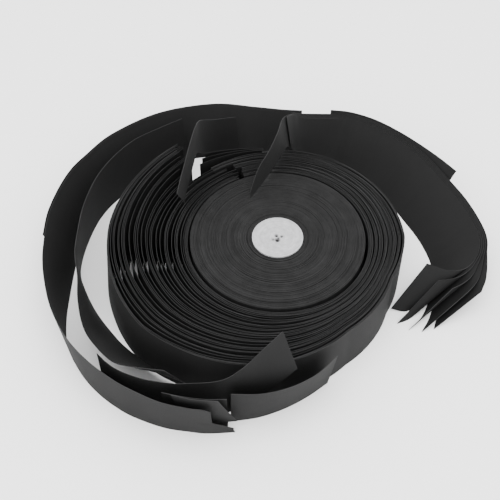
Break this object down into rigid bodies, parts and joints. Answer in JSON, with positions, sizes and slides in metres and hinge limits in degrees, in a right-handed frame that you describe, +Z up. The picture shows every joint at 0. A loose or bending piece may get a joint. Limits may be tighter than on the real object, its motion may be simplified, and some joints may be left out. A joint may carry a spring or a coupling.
{
  "type": "paper strip roll",
  "caption": "Flat-wound roll of matt black paper strips round a small pale wound core, with sprung loose turns, side loops and cut ends.",
  "frame": {"origin": "middle of the core, on the face that the roll lies on", "axes": "+Z up along the winding axis; +Y towards the back, where the strips are pinched together; +X towards the loop with the fanned ends"},
  "size_m": [0.1885, 0.1678, 0.0518],
  "materials": {
    "core_paper": "matt, tightly wound pale paper seen on its edges",
    "wound_paper": "matt black strips seen on their edges, with fine ring lines",
    "strip_paper": "matt black paper with faint lighter cut edges"
  },
  "bodies": {
    "coil": {"inner_wrap": "wound_paper", "loose_turn_1": "wound_paper", "loose_turn_2": "wound_paper", "loose_turn_3": "wound_paper", "loose_turn_4": "wound_paper", "loose_turn_5": "wound_paper", "loose_turn_6": "wound_paper", "outer_turn": "wound_paper"},
    "roll": {"core": "core_paper", "wound_pack": "wound_paper"},
    "left_strip_wide_body": {"left_strip_wide": "strip_paper"},
    "left_strip_outer_body": {"left_strip_outer": "strip_paper"},
    "left_strip_upright_body": {"left_strip_upright": "strip_paper"},
    "front_strip_under_body": {"front_strip_under": "strip_paper"},
    "front_strip_short_body": {"front_strip_short": "strip_paper"},
    "front_strip_right_body": {"front_strip_right": "strip_paper"},
    "front_flap_body": {"front_flap": "strip_paper"},
    "rear_climber_body": {"rear_climber": "strip_paper"},
    "loop_strip_1_body": {"loop_strip_1": "strip_paper"},
    "loop_strip_2_body": {"loop_strip_2": "strip_paper"},
    "loop_strip_3_body": {"loop_strip_3": "strip_paper"},
    "loop_strip_4_body": {"loop_strip_4": "strip_paper"},
    "loop_strip_5_body": {"loop_strip_5": "strip_paper"},
    "rear_end_strip_body": {"rear_end_strip": "strip_paper"}
  },
  "joints": [
    {"name": "roll_turn", "type": "hinge", "parent": "coil", "child": "roll", "pos_m": [0, 0, 0], "axis": [0, 0, 1], "range_deg": [-30, 90]},
    {"name": "left_swing", "type": "hinge", "parent": "coil", "child": "left_strip_wide_body", "pos_m": [0.002, 0.067, 0], "axis": [0, 0, 1], "range_deg": [-5, 0]},
    {"name": "left_strip_outer_swing", "type": "hinge", "parent": "coil", "child": "left_strip_outer_body", "pos_m": [0.002, 0.067, 0], "axis": [0, 0, 1], "range_deg": [-5.75, 0]},
    {"name": "left_strip_upright_swing", "type": "hinge", "parent": "coil", "child": "left_strip_upright_body", "pos_m": [0.002, 0.067, 0], "axis": [0, 0, 1], "range_deg": [-3.5, 0]},
    {"name": "front_strip_under_swing", "type": "hinge", "parent": "coil", "child": "front_strip_under_body", "pos_m": [0.002, 0.067, 0], "axis": [0, 0, 1], "range_deg": [-4.7, 0]},
    {"name": "front_strip_short_swing", "type": "hinge", "parent": "coil", "child": "front_strip_short_body", "pos_m": [0.002, 0.067, 0], "axis": [0, 0, 1], "range_deg": [-4.85, 0]},
    {"name": "front_right_swing", "type": "hinge", "parent": "coil", "child": "front_strip_right_body", "pos_m": [-0.018, -0.073, 0], "axis": [0, 0, 1], "range_deg": [-6, 0]},
    {"name": "front_flap_swing", "type": "hinge", "parent": "coil", "child": "front_flap_body", "pos_m": [-0.0695, -0.0575, 0], "axis": [0, 0, 1], "range_deg": [0, 4]},
    {"name": "rear_climber_swing", "type": "hinge", "parent": "coil", "child": "rear_climber_body", "pos_m": [-0.025, 0.066, 0], "axis": [0, 0, 1], "range_deg": [-3, 0]},
    {"name": "loop_swing", "type": "hinge", "parent": "coil", "child": "loop_strip_1_body", "pos_m": [0.012, 0.059, 0], "axis": [0, 0, 1], "range_deg": [0, 3]},
    {"name": "loop_strip_2_swing", "type": "hinge", "parent": "coil", "child": "loop_strip_2_body", "pos_m": [0.012, 0.059, 0], "axis": [0, 0, 1], "range_deg": [0, 3.18]},
    {"name": "loop_strip_3_swing", "type": "hinge", "parent": "coil", "child": "loop_strip_3_body", "pos_m": [0.012, 0.059, 0], "axis": [0, 0, 1], "range_deg": [0, 3.36]},
    {"name": "loop_strip_4_swing", "type": "hinge", "parent": "coil", "child": "loop_strip_4_body", "pos_m": [0.012, 0.059, 0], "axis": [0, 0, 1], "range_deg": [0, 3.54]},
    {"name": "loop_strip_5_swing", "type": "hinge", "parent": "coil", "child": "loop_strip_5_body", "pos_m": [0.012, 0.059, 0], "axis": [0, 0, 1], "range_deg": [0, 3.72]},
    {"name": "rear_end_strip_swing", "type": "hinge", "parent": "coil", "child": "rear_end_strip_body", "pos_m": [0.012, 0.059, 0], "axis": [0, 0, 1], "range_deg": [0, 3.9]}
  ],
  "couplings": [
    {"joint": "left_strip_outer_swing", "follows": "left_swing", "ratio": 1.15},
    {"joint": "left_strip_upright_swing", "follows": "left_swing", "ratio": 0.7},
    {"joint": "front_strip_under_swing", "follows": "left_swing", "ratio": 0.94},
    {"joint": "front_strip_short_swing", "follows": "left_swing", "ratio": 0.97},
    {"joint": "loop_strip_2_swing", "follows": "loop_swing", "ratio": 1.06},
    {"joint": "loop_strip_3_swing", "follows": "loop_swing", "ratio": 1.12},
    {"joint": "loop_strip_4_swing", "follows": "loop_swing", "ratio": 1.18},
    {"joint": "loop_strip_5_swing", "follows": "loop_swing", "ratio": 1.24},
    {"joint": "rear_end_strip_swing", "follows": "loop_swing", "ratio": 1.3}
  ]
}
